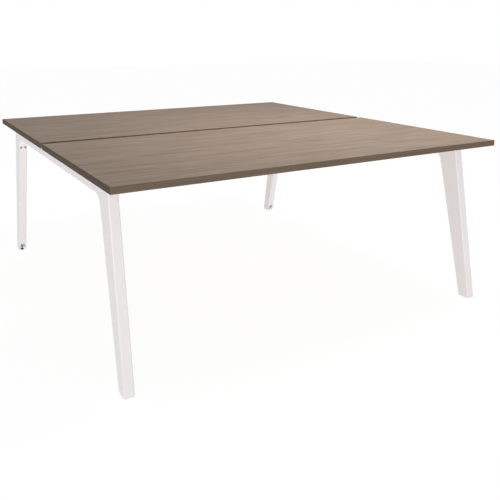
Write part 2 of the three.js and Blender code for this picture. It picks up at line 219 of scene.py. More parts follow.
floor.data.materials.append(material)

print("white floor,", FLOOR_SIZE, "m square")

# %% [markdown]
# ## How the finishes are built
#
# Every finish on this desk is a smooth skin that isn't quite even. A photograph of each could be wrapped
# round the pieces, but it would need seams and would repeat. Noise has neither, and its blots can be given
# their real size. So each finish is built alike: one pattern moves the colour between two close tones, and
# one, mostly finer, breaks up the gloss and gives a slight relief. The first function makes such a pattern,
# and the second joins the patterns to a surface.

# %% Patterns and finishes
NOISE_ROUGHNESS = 0.55


def streaks(tree, size, detail, start=(0.0, 0.0, 0.0)):
    """Noise of 0 to 1 whose blots have a size in metres along X, Y and Z. The start is counted in blots."""
    place = add(tree, "ShaderNodeTexCoord")
    spread = add(tree, "ShaderNodeMapping", {
        "Vector": place.outputs["Object"],
        "Location": start,
        "Scale": [1 / side for side in size],
    })
    noise = add(tree, "ShaderNodeTexNoise", {
        "Vector": spread.outputs["Vector"],
        "Scale": 1.0,
        "Detail": detail,
        "Roughness": NOISE_ROUGHNESS,
    })
    return noise.outputs["Fac"]


def finish(tree, tone, colours, texture, roughness, relief=None, constants=None):
    """Joins a pattern for the colour and one for the gloss and relief (depth, strength) to a surface."""
    # A Mix node keeps its two colours in inputs 6 and 7 and their mixture in output 2.
    colour = add(tree, "ShaderNodeMix", {
        "Factor": tone,
        6: linear(colours[0]),
        7: linear(colours[1]),
    }, data_type="RGBA")
    gloss = add(tree, "ShaderNodeMapRange", {
        "Value": texture,
        "To Min": roughness[0],
        "To Max": roughness[1],
    })
    inputs = {"Base Color": colour.outputs[2], "Roughness": gloss.outputs["Result"], **(constants or {})}
    if relief:
        depth, strength = relief
        bump = add(tree, "ShaderNodeBump", {"Height": texture, "Distance": depth, "Strength": strength})
        inputs["Normal"] = bump.outputs["Normal"]
    shader = add(tree, "ShaderNodeBsdfPrincipled", inputs)
    add(tree, "ShaderNodeOutputMaterial", {"Surface": shader.outputs["BSDF"]})


print("finish helpers ready; noise roughness", NOISE_ROUGHNESS)

# %% [markdown]
# ## Melamine worktops
#
# The boards are chipboard faced with melamine: a printed grey oak paper pressed under clear resin. The
# print has soft streaks about two centimetres wide and a third of a metre long, finer lines between them,
# and a pressed pore texture that breaks up the gloss. A picture of wood would do, but noise drawn out along
# the board gives the same streaks at their real size and never repeats. The streaks stay close to the
# paper's own colour, and so do the two hex values.

# %% Grey oak melamine
FINE_LINES_SHARE = 0.45
# Mixed noise seldom leaves this stretch, so the stretch is spread over both colours.
GRAIN_LOW, GRAIN_HIGH = 0.36, 0.64


def grey_oak_melamine():
    """Printed oak grain along X under satin resin: quiet streaks and a soft, even sheen."""
    material, tree = new_material("grey_oak_melamine")
    broad = streaks(tree, (320 * MM, 24 * MM, 24 * MM), detail=3.0)
    fine = streaks(tree, (150 * MM, 5 * MM, 5 * MM), detail=2.0, start=(7.3, 2.1, 0))
    # Real pores are 0.2 mm wide; they are drawn six times as wide, so that they show at all.
    pores = streaks(tree, (26 * MM, 1.2 * MM, 1.2 * MM), detail=1.0)
    # A Mix node keeps two plain values in inputs 2 and 3 and their mixture in output 0.
    grain = add(tree, "ShaderNodeMix", {"Factor": FINE_LINES_SHARE, 2: broad, 3: fine})
    tone = add(tree, "ShaderNodeMapRange", {
        "Value": grain.outputs[0],
        "From Min": GRAIN_LOW,
        "From Max": GRAIN_HIGH,
    })
    finish(tree, tone.outputs["Result"], ("#887565", "#a69281"), pores, roughness=(0.60, 0.74),
           relief=(0.05 * MM, 0.5), constants={"IOR": 1.5, "Specular IOR Level": 0.2})
    return material


melamine = grey_oak_melamine()
for top in TOPS:
    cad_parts[f"{top}_board"].material_slots[0].material = melamine

# %% [markdown]
# ## Modelling helpers
#
# Modelling by hand is a short round of moves: add a block, select some of its faces or edges, and push,
# bevel or delete them. Selecting by eye isn't possible in a script, so a test on each face or edge does it,
# mostly "does all of it lie at this place along that axis?".

# %% Blocks, selections and bevels
X, Y, Z = 0, 1, 2
NEAR = 0.02 * MM
PARALLEL = 0.999


def block(name, low, high):
    """A cube stretched between two corners."""
    low, high = Vector(low), Vector(high)
    bpy.ops.object.select_all(action="DESELECT")
    bpy.ops.mesh.primitive_cube_add(size=1, location=(low + high) / 2, scale=high - low)
    bpy.ops.object.transform_apply(location=True, rotation=True, scale=True)
    bpy.context.object.name = name
    return bpy.context.object


def lies(part, axis, place):
    """True where every point of a vertex, edge or face is at a place along an axis."""
    return all(abs(corner.co[axis] - place) < NEAR for corner in getattr(part, "verts", [part]))


def runs(edge, axis):
    """True where an edge runs along an axis."""
    way = edge.verts[1].co - edge.verts[0].co
    return abs(way[axis]) > PARALLEL * way.length


def choose(piece, kind, test):
    """Goes into edit mode and selects the vertices, edges or faces that pass a test."""
    bpy.context.view_layer.objects.active = piece
    bpy.ops.object.mode_set(mode="EDIT")
    bpy.ops.mesh.select_mode(type=kind)
    bpy.ops.mesh.select_all(action="DESELECT")
    cage = bmesh.from_edit_mesh(piece.data)
    for part in {"VERT": cage.verts, "EDGE": cage.edges, "FACE": cage.faces}[kind]:
        if test(part):
            part.select_set(True)
    bmesh.update_edit_mesh(piece.data)


def bevel(piece, test, radius, segments):
    """Rounds the edges that pass a test, or chamfers them where there is one segment."""
    choose(piece, "EDGE", test)
    bpy.ops.mesh.bevel(offset=radius, segments=segments, affect="EDGES")
    bpy.ops.object.mode_set(mode="OBJECT")


print("selections are good to", round(NEAR / MM, 3), "mm")

# %% [markdown]
# A finished mesh is welded and shaded, gets its material, and takes the place of a CAD node on the body that
# carries it. Smoothing by angle keeps the arrises crisp, and weighted normals keep large faces flat beside
# their small rounds. A modifier is added, set and applied in one go.

# %% Finishing a piece
WELD = 0.001 * MM
SMOOTH_ANGLE = math.radians(32)


def only(piece):
    """Selects one object alone and makes it active."""
    bpy.ops.object.select_all(action="DESELECT")
    piece.select_set(True)
    bpy.context.view_layer.objects.active = piece


def modify(piece, kind, **settings):
    """Adds a modifier with its settings and applies it."""
    bpy.context.view_layer.objects.active = piece
    bpy.ops.object.mode_set(mode="OBJECT")
    change = piece.modifiers.new(kind.lower(), kind)
    for name, value in settings.items():
        setattr(change, name, value)
    bpy.ops.object.modifier_apply(modifier=change.name)


def shade(piece):
    """Welds the slivers that cutting leaves, then gives smooth rounds, crisp arrises and flat faces."""
    choose(piece, "VERT", lambda v: True)
    bpy.ops.mesh.remove_doubles(threshold=WELD)
    bpy.ops.mesh.dissolve_degenerate(threshold=WELD)
    bpy.ops.object.mode_set(mode="OBJECT")
    only(piece)
    bpy.ops.object.shade_smooth_by_angle(angle=SMOOTH_ANGLE)
    modify(piece, "WEIGHTED_NORMAL", keep_sharp=True)


def dress(piece, node, material, body="desk"):
    """Gives a finished piece its finish and lets it stand for a CAD node."""
    piece.name = f"{node}_finish"
    piece.data.name = piece.name
    piece.data.materials.clear()
    piece.data.materials.append(material)
    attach(piece, body)
    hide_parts(node)


print("pieces are smoothed below", round(math.degrees(SMOOTH_ANGLE)), "degrees")

# %% [markdown]
# ## Edge bands
#
# The edges of the boards are closed by ABS bands, 2 mm thick, glued on and scraped round by a cutter. The
# band is dyed through in a darker tone than the paper, and its printed grain runs along its own length. The
# print could share the material of the boards, but that grain runs along the desk only. So there is one
# material for each direction. The short bands are the same ABS, but their tones are set a little darker:
# painted shade on the two ends of the desk.


# %% Dyed ABS
def abs_edge_band(name, along, dark, light):
    """Dyed ABS with a printed grain along one axis: darker than the paper, with a dry satin sheen."""
    material, tree = new_material(name)
    size = [5 * MM, 5 * MM, 5 * MM]
    size[along] = 240 * MM
    grain = streaks(tree, size, detail=3.0, start=(1.7, 4.2, 0.9))
    finish(tree, grain, (dark, light), grain, roughness=(0.62, 0.74),
           relief=(0.03 * MM, 0.4), constants={"IOR": 1.5, "Specular IOR Level": 0.06})
    return material


band_finish = {
    X: abs_edge_band("abs_edge_band_long", X, "#5d5044", "#7e6d60"),
    # The short bands' darker tones are painted shade on the ends of the desk, not a different dye.
    Y: abs_edge_band("abs_edge_band_short", Y, "#4c4038", "#66574c"),
}
print("dyed ABS ready in", len(band_finish), "directions")

# %% [markdown]
# The CAD bands have the right shape, but they are loose triangles, and their rounds would show as facets. So
# a band is modelled anew as one long block whose two outer arrises are rounded, and shaded to catch a clean
# line of light. The long bands also cover the corners of the board, so their ends get a small round too.

# %% Edge bands
BAND_ROUND = 1.2 * MM
BAND_CORNER_ROUND = 0.8 * MM


def edge_band(node):
    """The band on one side of a worktop, rounded on the side away from its board."""
    low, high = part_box(node)
    along, across = (X, Y) if high.x - low.x > high.y - low.y else (Y, X)
    board_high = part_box(node.split("_band_")[0] + "_board")[1]
    outside = high[across] if high[across] > board_high[across] else low[across]
    band = block(node, low, high)
    bevel(band, lambda e: runs(e, along) and lies(e, across, outside), BAND_ROUND, segments=4)
    if along == X:
        bevel(band, lambda e: runs(e, Z) and lies(e, across, outside), BAND_CORNER_ROUND, segments=3)
    shade(band)
    dress(band, node, band_finish[along])


bands = [f"{top}_band_{side}" for top in TOPS for side in ("front", "rear", "left", "right")]
for node in bands:
    edge_band(node)

print("edge bands:", len(bands))

# %% [markdown]
# ## White powder coat
#
# The steel is sprayed with dry powder and baked. The film flows before it sets, which leaves a satin white
# skin with a faint orange peel: ripples about a millimetre and a half wide and a few hundredths deep. A
# plain white would look like paper on faces as large as these, so the ripples break up the gloss.


# %% White powder coat
def white_powder_coat():
    """Baked polyester powder: a warm white with a satin gloss, broken by a fine orange peel."""
    material, tree = new_material("white_powder_coat")
    peel = streaks(tree, (1.6 * MM, 1.6 * MM, 1.6 * MM), detail=1.0)
    cloud = streaks(tree, (120 * MM, 120 * MM, 120 * MM), detail=2.0)
    finish(tree, cloud, ("#efebec", "#f4f0f1"), peel, roughness=(0.26, 0.36),
           relief=(0.03 * MM, 0.5), constants={"IOR": 1.5})
    return material


powder_coat = white_powder_coat()
print("powder coat ready:", powder_coat.name)

# %% [markdown]
# ## Legs
#
# A leg is a hollow steel box that tapers towards the floor, leans outwards and turns through a wide curve
# into the crossbar. Its side view follows from a few sizes: how far its outer face lies from the edge of
# the desk at the top and at the floor, and how deep it is there. The places of the board above it and of its
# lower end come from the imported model.

# %% Leg sizes
LEG_TOP_INSET = 153 * MM
LEG_FOOT_INSET = 31 * MM
LEG_TOP_DEPTH = 105 * MM
LEG_FOOT_DEPTH = 56 * MM
BAR_HEIGHT = 60 * MM

desk_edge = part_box("rear_top_band_rear")[1].y
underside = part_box("rear_top_board")[0].z
leg_low, leg_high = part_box("right_rear_leg")
frame_x = (leg_low.x + leg_high.x) / 2
bar_bottom = underside - BAR_HEIGHT
outer_slope = (LEG_TOP_INSET - LEG_FOOT_INSET) / underside
inner_slope = outer_slope + (LEG_TOP_DEPTH - LEG_FOOT_DEPTH) / underside
outer_lean, inner_lean = math.atan(outer_slope), math.atan(inner_slope)


def outer_y(z):
    """Where the outer face of a rear leg is at a height."""
    return desk_edge - LEG_FOOT_INSET - outer_slope * z


def inner_y(z):
    """Where the inner face of a rear leg is at a height."""
    return desk_edge - LEG_FOOT_INSET - LEG_FOOT_DEPTH - inner_slope * z


print("leg leans", round(math.degrees(outer_lean), 2), "and", round(math.degrees(inner_lean), 2),
      "degrees; knee at", round(inner_y(bar_bottom), 4))

# %% [markdown]
# A leg could be swept along a bent path, but its outer corner is nearly sharp while its inner corner is
# wide, and a sweep can't give that. So it is pulled out of a block: a stub at the crossbar, pushed outwards,
# then down to the floor, with its corners moved to the two leaning lines. One wide bevel makes the knee, a
# small one the outer corner, and a third rounds the long arrises. Then the ends are opened, and the wall
# gets its thickness.

# %% Leg shell
KNEE_RADIUS = 49.5 * MM
OUTER_KNEE_RADIUS = 9 * MM
LEG_ROUND = 5 * MM
STEEL_WALL = 2.5 * MM
FLAT_ANGLE = math.radians(0.5)


def push(way):
    """Extrudes the selected faces along a vector."""
    bpy.ops.mesh.extrude_region_move(TRANSFORM_OT_translate={"value": way, "orient_type": "GLOBAL"})


def move_corner(piece, y, z, new_y):
    """Moves the pair of points at (y, z) in the side view to another y."""
    choose(piece, "VERT", lambda v: lies(v, Y, y) and lies(v, Z, z))
    bpy.ops.transform.translate(value=(0, new_y - y, 0))


def corner_reach(radius, lean):
    """How far from its corner a round of that radius starts, between a level face and a leaning one."""
    return radius * math.tan((math.pi / 2 - lean) / 2)


def hollow(piece, ends, wall):
    """Opens the end faces of a solid bar and gives what is left a wall of sheet steel, inwards."""
    choose(piece, "FACE", ends)
    bpy.ops.mesh.delete(type="FACE")
    modify(piece, "SOLIDIFY", thickness=wall, offset=-1, use_even_offset=True)


def leg_shell():
    """The hollow leg of the right rear corner, with its knee, open at the crossbar and at the floor."""
    knee_y, back_y, top_y = inner_y(bar_bottom), outer_y(bar_bottom), outer_y(underside)
    foot_z = leg_low.z
    leg = block("leg", (leg_low.x, leg_low.y, bar_bottom), (leg_high.x, knee_y, underside))
    choose(leg, "FACE", lambda f: lies(f, Y, knee_y))
    push((0, back_y - knee_y, 0))
    move_corner(leg, back_y, underside, top_y)
    choose(leg, "FACE", lambda f: lies(f, Z, bar_bottom) and f.calc_center_median().y > knee_y)
    push((0, 0, foot_z - bar_bottom))
    move_corner(leg, knee_y, foot_z, inner_y(foot_z))
    move_corner(leg, back_y, foot_z, outer_y(foot_z))
    bpy.ops.mesh.select_all(action="SELECT")
    bpy.ops.mesh.dissolve_limited(angle_limit=FLAT_ANGLE)

    def at_open_end(part):
        return lies(part, Y, leg_low.y) or lies(part, Z, foot_z)

    def on_a_side(part):
        return lies(part, X, leg_low.x) or lies(part, X, leg_high.x)

    bevel(leg, lambda e: lies(e, Y, knee_y) and lies(e, Z, bar_bottom),
          corner_reach(KNEE_RADIUS, inner_lean), segments=18)
    bevel(leg, lambda e: lies(e, Y, top_y) and lies(e, Z, underside),
          corner_reach(OUTER_KNEE_RADIUS, outer_lean), segments=8)
    bevel(leg, lambda e: on_a_side(e) and not at_open_end(e), LEG_ROUND, segments=5)
    hollow(leg, at_open_end, STEEL_WALL)
    return leg


leg = leg_shell()
print("leg shell:", len(leg.data.polygons), "faces")

# %% [markdown]
# Holes and notches are cut with a boolean, which throws its tool away afterwards. What repeats is modelled
# once and copied. A copy has a mesh of its own, and its turn and place are applied to that mesh, because a
# finished piece sits at the origin, unturned.

# %% Cutting and copying
HOLE_SIDES = 24


def rod(name, radius, start, end, sides):
    """A cylinder from one point to another."""
    start, way = Vector(start), Vector(end) - Vector(start)
    turn = way.to_track_quat("Z", "Y").to_euler()
    bpy.ops.object.select_all(action="DESELECT")
    bpy.ops.mesh.primitive_cylinder_add(vertices=sides, radius=radius, depth=way.length,
                                        location=start + way / 2, rotation=turn)
    bpy.ops.object.transform_apply(location=True, rotation=True, scale=True)
    bpy.context.object.name = name
    return bpy.context.object


def carve(piece, tool, operation="DIFFERENCE"):
    """Cuts a tool out of a piece, or joins it on, and throws the tool away."""
    modify(piece, "BOOLEAN", object=tool, operation=operation, solver="EXACT")
    bpy.data.objects.remove(tool)


def drill(piece, radius, start, end):
    """Cuts a round hole from one point to another."""
    carve(piece, rod("hole", radius, start, end, HOLE_SIDES))


def settle(piece, turn=(0, 0, 0), shift=(0, 0, 0)):
    """Turns a piece about the origin, then shifts it, and keeps its new place in its mesh."""
    only(piece)
    piece.rotation_euler = turn
    piece.location = shift
    bpy.ops.object.transform_apply(location=True, rotation=True, scale=True)
    return piece


def twin(piece, turn=(0, 0, 0), shift=(0, 0, 0)):
    """A copy with its own mesh, turned about the origin and then shifted."""
    only(piece)
    bpy.ops.object.duplicate(linked=False)
    return settle(bpy.context.object, turn, shift)


print("cutting helpers ready; a hole has", HOLE_SIDES, "sides")

# %% [markdown]
# The inner face of a leg has a notch at the floor, where a spanner reaches the glide, and two holes below
# the knee for the screws that hold the leg to the frame. The leg is made once, for the right rear corner.
# The other rear corner gets a copy that is shifted along the desk, and the front corners get copies that
# are turned round, as on the real desk, where all four legs are alike.

# %% Legs
# The end of each corner, 1 for right and -1 for left, and its side, 1 for rear and -1 for front.
CORNERS = {"right_rear": (1, 1), "left_rear": (-1, 1), "right_front": (1, -1), "left_front": (-1, -1)}
NOTCH_WIDTH = 25 * MM
NOTCH_HEIGHT = 37 * MM
NOTCH_ROUND = 7 * MM
LEG_SCREW_SPACING = 21 * MM
LEG_SCREW_BELOW_KNEE = 7 * MM
LEG_SCREW_HOLE = 3.3 * MM


def dress_corners(piece, name, material, rides=None):
    """Dresses a copy of a piece of the right rear corner at each corner, and throws the first one away."""
    for corner, (end, side) in CORNERS.items():
        turn = (0, 0, 0 if side > 0 else math.pi)
        copy = twin(piece, turn, ((end - side) * frame_x, 0, 0))
        dress(copy, f"{corner}_{name}", material, f"{corner}_{rides}" if rides else "desk")
    bpy.data.objects.remove(piece)


def leg_screw_seats():
    """Where the pair of screws meets the inner face, just below the knee, and the way they point."""
    knee_z = bar_bottom - KNEE_RADIUS
    z = knee_z + KNEE_RADIUS * math.sin(inner_lean) - LEG_SCREW_BELOW_KNEE
    way = Vector((0, math.cos(inner_lean), math.sin(inner_lean)))
    return {place: Vector((frame_x + side * LEG_SCREW_SPACING / 2, inner_y(z), z))
            for place, side in (("a", -1), ("b", 1))}, way


# The notch and the holes go a few walls beyond the face that they cut.
notch_top = leg_low.z + NOTCH_HEIGHT
notch_low = (frame_x - NOTCH_WIDTH / 2, inner_y(notch_top) - 4 * STEEL_WALL, leg_low.z - NOTCH_HEIGHT)
notch_high = (frame_x + NOTCH_WIDTH / 2, inner_y(leg_low.z) + 4 * STEEL_WALL, notch_top)
notch = block("notch", notch_low, notch_high)
bevel(notch, lambda e: runs(e, Y) and lies(e, Z, notch_top), NOTCH_ROUND, segments=8)
carve(leg, notch)
seats, way = leg_screw_seats()
for seat in seats.values():
    drill(leg, LEG_SCREW_HOLE, seat - 2 * STEEL_WALL * way, seat + 2 * STEEL_WALL * way)
shade(leg)
print("legs:", len(CORNERS), "of", len(leg.data.polygons), "faces")
dress_corners(leg, "leg", powder_coat)

# %% [markdown]
# ## Crossbars
#
# Under the worktops each end frame has a crossbar of rectangular tube. Tabs on it take the wood screws that
# hold the tops down, and holes in its inner face take the bolts of the beams. A tube could be extruded from
# a drawn outline, but a block with rounded long edges can be hollowed by the function that made the legs. A
# tab is a block with two rounded corners and a hole, which a boolean joins on, as a weld does.

# %% Crossbars
BAR_ROUND = 5 * MM
TAB_WIDTH = 40 * MM
TAB_CORNER_ROUND = 6 * MM
TAB_HOLE = 2.6 * MM
BOLT_HOLE = 4.3 * MM


def middle_of(node):
    """The middle of a CAD node's box."""
    low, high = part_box(node)
    return (low + high) / 2


def tube(name, low, high, along, radius, wall):
    """A rectangular tube with rounded edges, open at both ends."""
    bar = block(name, low, high)
    bevel(bar, lambda e: runs(e, along), radius, segments=5)
    hollow(bar, lambda f: lies(f, along, low[along]) or lies(f, along, high[along]), wall)
    return bar


def bolt_places(beam):
    """The (y, z) places of the two bolts at the ends of a beam."""
    return [middle_of(f"{beam}_bolt_right_{place}").yz for place in ("a", "b")]


def tab(screw, root_x, tip_x):
    """A welded tab with a hole for a wood screw, from the crossbar towards the middle of the desk."""
    low = (min(root_x, tip_x), screw.y - TAB_WIDTH / 2, underside - STEEL_WALL)
    high = (max(root_x, tip_x), screw.y + TAB_WIDTH / 2, underside)
    plate = block("tab", low, high)
    bevel(plate, lambda e: runs(e, Z) and lies(e, X, tip_x), TAB_CORNER_ROUND, segments=5)
    drill(plate, TAB_HOLE, (screw.x, screw.y, bar_bottom), (screw.x, screw.y, underside + TAB_HOLE))
    return plate


def crossbar(end):
    """The crossbar of one end frame, with its four tabs and its bolt holes."""
    node = f"{end}_crossbar"
    low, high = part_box(node)
    leg_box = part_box(f"{end}_rear_leg")
    bar_low, bar_high = Vector((leg_box[0].x, low.y, low.z)), Vector((leg_box[1].x, high.y, high.z))
    bar = tube(node, bar_low, bar_high, Y, BAR_ROUND, STEEL_WALL)
    way = ENDS[end]
    inner_x, tip_x = (bar_low.x, low.x) if way > 0 else (bar_high.x, high.x)
    for top in TOPS:
        for index in (1, 2):
            screw = middle_of(f"{top}_screw_{end}_{index}")
            carve(bar, tab(screw, inner_x + way * BAR_ROUND, tip_x), "UNION")
    for beam in BEAMS:
        for y, z in bolt_places(beam):
            start, stop = inner_x - way * 2 * STEEL_WALL, inner_x + way * 2 * STEEL_WALL
            drill(bar, BOLT_HOLE, (start, y, z), (stop, y, z))
    shade(bar)
    dress(bar, node, powder_coat)
    return bar


crossbars = [crossbar(end) for end in ENDS]
print("crossbars:", [len(bar.data.polygons) for bar in crossbars], "faces")

# %% [markdown]
# ## Beams
#
# Two beams of smaller tube run from frame to frame, so that the desk can't rack. A plate is welded to each
# end, with two holes for the bolts and one that lets air and coating into the tube. The plates only touch
# the tube, so the three meshes are joined to one object without a boolean.

# %% Beams
BEAM_WIDTH = 30 * MM
BEAM_WALL = 2 * MM
BEAM_ROUND = 3 * MM
BEAM_PLATE = 5 * MM
BEAM_PLATE_HEIGHT = 52 * MM
BEAM_PLATE_ROUND = 6 * MM
BEAM_VENT = 8 * MM


def end_plate(beam, outside, way):
    """The plate at one end of a beam, with its holes. The way leads from its outer face to the tube."""
    low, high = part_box(beam)
    middle = middle_of(beam)
    inside = outside + way * BEAM_PLATE
    plate = block("plate", (min(outside, inside), low.y, middle.z - BEAM_PLATE_HEIGHT / 2),
                  (max(outside, inside), high.y, middle.z + BEAM_PLATE_HEIGHT / 2))
    bevel(plate, lambda e: runs(e, X), BEAM_PLATE_ROUND, segments=5)
    holes = [(BOLT_HOLE, y, z) for y, z in bolt_places(beam)] + [(BEAM_VENT, middle.y, middle.z)]
    for radius, y, z in holes:
        drill(plate, radius, (outside - way * BEAM_PLATE, y, z), (inside + way * BEAM_PLATE, y, z))
    return plate


def long_beam(node):
    """A long beam with a plate welded to each end."""
    low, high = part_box(node)
    middle = middle_of(node)
    tube_low = Vector((low.x + BEAM_PLATE, middle.y - BEAM_WIDTH / 2, low.z))
    tube_high = Vector((high.x - BEAM_PLATE, middle.y + BEAM_WIDTH / 2, high.z))
    beam = tube(node, tube_low, tube_high, X, BEAM_ROUND, BEAM_WALL)
    plates = [end_plate(node, low.x, 1), end_plate(node, high.x, -1)]
    only(beam)
    for plate in plates:
        plate.select_set(True)
    bpy.ops.object.join()
    shade(beam)
    dress(beam, node, powder_coat)
    return beam


beams = [long_beam(node) for node in BEAMS]
print("beams:", [len(beam.data.polygons) for beam in beams], "faces")

# %% [markdown]
# ## Plated and moulded finishes
#
# The small steel is plated with zinc, which is slightly blue and a little uneven. Studs and plates keep it
# bright and satin; on screws and bolts it is sealed with a thick clear film, which leaves it greyer. The
# pads of the glides are moulded in black polyamide with an eroded, matt skin. One plain grey and one plain
# black would do from afar, but close by it is the uneven sheen that tells metal from plastic.

# %% Small finishes
ZINC_SHEEN_SPREAD = 0.08


def zinc_plated_steel(name, dark, light, roughness):
    """Zinc: a cool grey metal whose sheen varies in soft spangles about a centimetre across."""
    material, tree = new_material(name)
    spangle = streaks(tree, (9 * MM, 9 * MM, 9 * MM), detail=3.0)
    sheen = (roughness - ZINC_SHEEN_SPREAD, roughness + ZINC_SHEEN_SPREAD)
    finish(tree, spangle, (dark, light), spangle, sheen, constants={"Metallic": 1.0})
    return material


def black_polyamide():
    """Moulded nylon: a soft black, matt from the spark-eroded mould."""
    material, tree = new_material("black_polyamide")
    # The real grit is 0.1 mm wide; it is drawn eight times as wide, so that it shows at all.
    grit = streaks(tree, (0.8 * MM, 0.8 * MM, 0.8 * MM), detail=1.0)
    finish(tree, grit, ("#202022", "#2c2c2e"), grit, roughness=(0.52, 0.68),
           relief=(0.05 * MM, 0.5), constants={"IOR": 1.53})
    return material


bright_zinc = zinc_plated_steel("bright_zinc_plated_steel", "#d2d6da", "#e6e9eb", roughness=0.52)
grey_zinc = zinc_plated_steel("sealed_zinc_plated_steel", "#84888d", "#a2a6aa", roughness=0.34)
polyamide = black_polyamide()
for corner in CORNERS:
    for hidden in ("knee_tongue", "foot_plate"):
        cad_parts[f"{corner}_{hidden}"].material_slots[0].material = bright_zinc

print("small finishes ready; bright zinc on", 2 * len(CORNERS), "CAD nodes")

# %% [markdown]
# ## Screws and bolts
#
# Every screw here has a head, a recess for the driver and a thread. A thread could be a drawn relief, but
# the studs show theirs from the side and turn as they move, so it is real. It is a small V that climbs
# round an axis, which is what the Screw modifier does with a bent line. The rough ends of the climb are cut
# off by keeping only what lies inside a chamfered cylinder.

# %% Threads
THREAD_DEPTH_IN_PITCHES = 0.6
THREAD_CLEARANCE_IN_RADII = 0.2
THREAD_STEPS = 18


def thread(radius, pitch, start, end):
    """A threaded rod along Z from one height to another, with a chamfered upper end."""
    bpy.ops.object.select_all(action="DESELECT")
    bpy.ops.mesh.primitive_plane_add(size=1, rotation=(math.pi / 2, 0, 0))
    bpy.ops.object.transform_apply(location=True, rotation=True, scale=True)
    coil = bpy.context.object
    choose(coil, "VERT", lambda v: v.co.x < 0 and v.co.z < 0)
    bpy.ops.mesh.delete(type="VERT")
    bpy.ops.object.mode_set(mode="OBJECT")

    # Three corners of the plane are left, which become the root, the crest and the next root of the V.
    depth = THREAD_DEPTH_IN_PITCHES * pitch
    for point in coil.data.vertices:
        if point.co.x > 0 and point.co.z > 0:
            point.co = (radius, 0, start - pitch / 2)
        else:
            point.co = (radius - depth, 0, start if point.co.x < 0 else start - pitch)
    turns = math.ceil((end - start) / pitch) + 2
    modify(coil, "SCREW", screw_offset=pitch, iterations=turns,
           steps=THREAD_STEPS, render_steps=THREAD_STEPS)
    choose(coil, "VERT", lambda v: True)
    bpy.ops.mesh.remove_doubles(threshold=WELD)
    bpy.ops.mesh.fill_holes(sides=0)
    bpy.ops.mesh.select_all(action="SELECT")
    bpy.ops.mesh.normals_make_consistent(inside=False)
    bpy.ops.object.mode_set(mode="OBJECT")

    clearance = THREAD_CLEARANCE_IN_RADII * radius
    keep = rod("keep", radius + clearance, (0, 0, start), (0, 0, end), sides=2 * THREAD_STEPS)
    bevel(keep, lambda e: lies(e, Z, end), clearance + depth, segments=1)
    carve(coil, keep, "INTERSECT")
    return coil


print("threads ready:", THREAD_STEPS, "steps a turn")

# %% [markdown]
# Heads are cylinders with a rounded rim, and the recess is cut with a hexagon or a cross. Each kind of
# screw is modelled once, with its seat at the origin and its thread along +Z, and copied to its places. The
# sizes of the rim's round and of a recess are shares of the head, so one function serves large and small.

# %% Heads
HEAD_SIDES = 48
HEAD_ROUND = 0.6
RECESS_FLOOR = 0.4
THREAD_IN_HEAD = 0.1
CROSS_HALF_LENGTH = 0.55
CROSS_HALF_WIDTH = 0.13


def domed_head(radius, height):
    """A screw head below the origin: flat where it seats, rounded where the driver goes in."""
    head = rod("head", radius, (0, 0, -height), (0, 0, 0), HEAD_SIDES)
    bevel(head, lambda e: lies(e, Z, -height), HEAD_ROUND * height, segments=5)
    return head


def hexagon(flats, low, high):
    """A six-sided bar along Z with that distance between its flats."""
    return rod("hexagon", flats / math.sqrt(3), (0, 0, low), (0, 0, high), sides=6)


def socket_screw(radius, pitch, length, head_radius, head_height, flats):
    """A button-head screw with a hexagon socket."""
    screw = domed_head(head_radius, head_height)
    carve(screw, hexagon(flats, -2 * head_height, -RECESS_FLOOR * head_height))
    carve(screw, thread(radius, pitch, -THREAD_IN_HEAD * head_height, length), "UNION")
    shade(screw)
    return screw


def cross_screw(radius, pitch, length, head_radius, head_height):
    """A pan-head wood screw with a cross recess."""
    screw = domed_head(head_radius, head_height)
    long, short = CROSS_HALF_LENGTH * head_radius, CROSS_HALF_WIDTH * head_radius
    floor_z = -RECESS_FLOOR * head_height
    for half_x, half_y in ((long, short), (short, long)):
        carve(screw, block("slot", (-half_x, -half_y, -2 * head_height), (half_x, half_y, floor_z)))
    carve(screw, thread(radius, pitch, -THREAD_IN_HEAD * head_height, length), "UNION")
    shade(screw)
    return screw


def pointing(way):
    """The turn that brings +Z round to a direction."""
    return Vector(way).to_track_quat("Z", "Y").to_euler()


print("heads ready:", HEAD_SIDES, "sides")

# %% [markdown]
# ### Leg screws
#
# A pair of button-head screws below each knee holds the leg to the tongue inside it. They sit square to the
# leaning inner face, so a pattern screw is turned to it once and then goes to the four corners with the same
# function as the leg.

# %% Leg screws
FIT = 0.3 * MM

leg_screw = socket_screw(radius=3 * MM, pitch=1 * MM, length=12 * MM,
                         head_radius=5.5 * MM, head_height=3.3 * MM, flats=4 * MM)
seats, way = leg_screw_seats()
for place, seat in seats.items():
    screw = twin(leg_screw, pointing(way), seat - FIT * way)
    dress_corners(screw, f"leg_screw_{place}", grey_zinc)

print("leg screws:", len(seats) * len(CORNERS), "of", len(leg_screw.data.polygons), "faces")
bpy.data.objects.remove(leg_screw)

# %% [markdown]
# ### Beam bolts
#
# Two bolts at each end of a beam go through its plate into the crossbar. They lie along X, with their heads
# towards the middle of the desk. Their places could be worked out from the beams, but the boxes of the CAD
# bolts give them at once.

# %% Beam bolts
BOLT_HEAD = 4.4 * MM

bolt = socket_screw(radius=4 * MM, pitch=1.25 * MM, length=20 * MM,
                    head_radius=7 * MM, head_height=BOLT_HEAD, flats=5 * MM)
bolts = [(beam, end, place) for end in ENDS for beam in BEAMS for place in ("a", "b")]
for beam, end, place in bolts:
    node = f"{beam}_bolt_{end}_{place}"
    low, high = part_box(node)
    seat = middle_of(node)
    seat.x = low.x + BOLT_HEAD if end == "right" else high.x - BOLT_HEAD
    dress(twin(bolt, pointing((ENDS[end], 0, 0)), seat), node, grey_zinc)

print("beam bolts:", len(bolts), "of", len(bolt.data.polygons), "faces")
bpy.data.objects.remove(bolt)

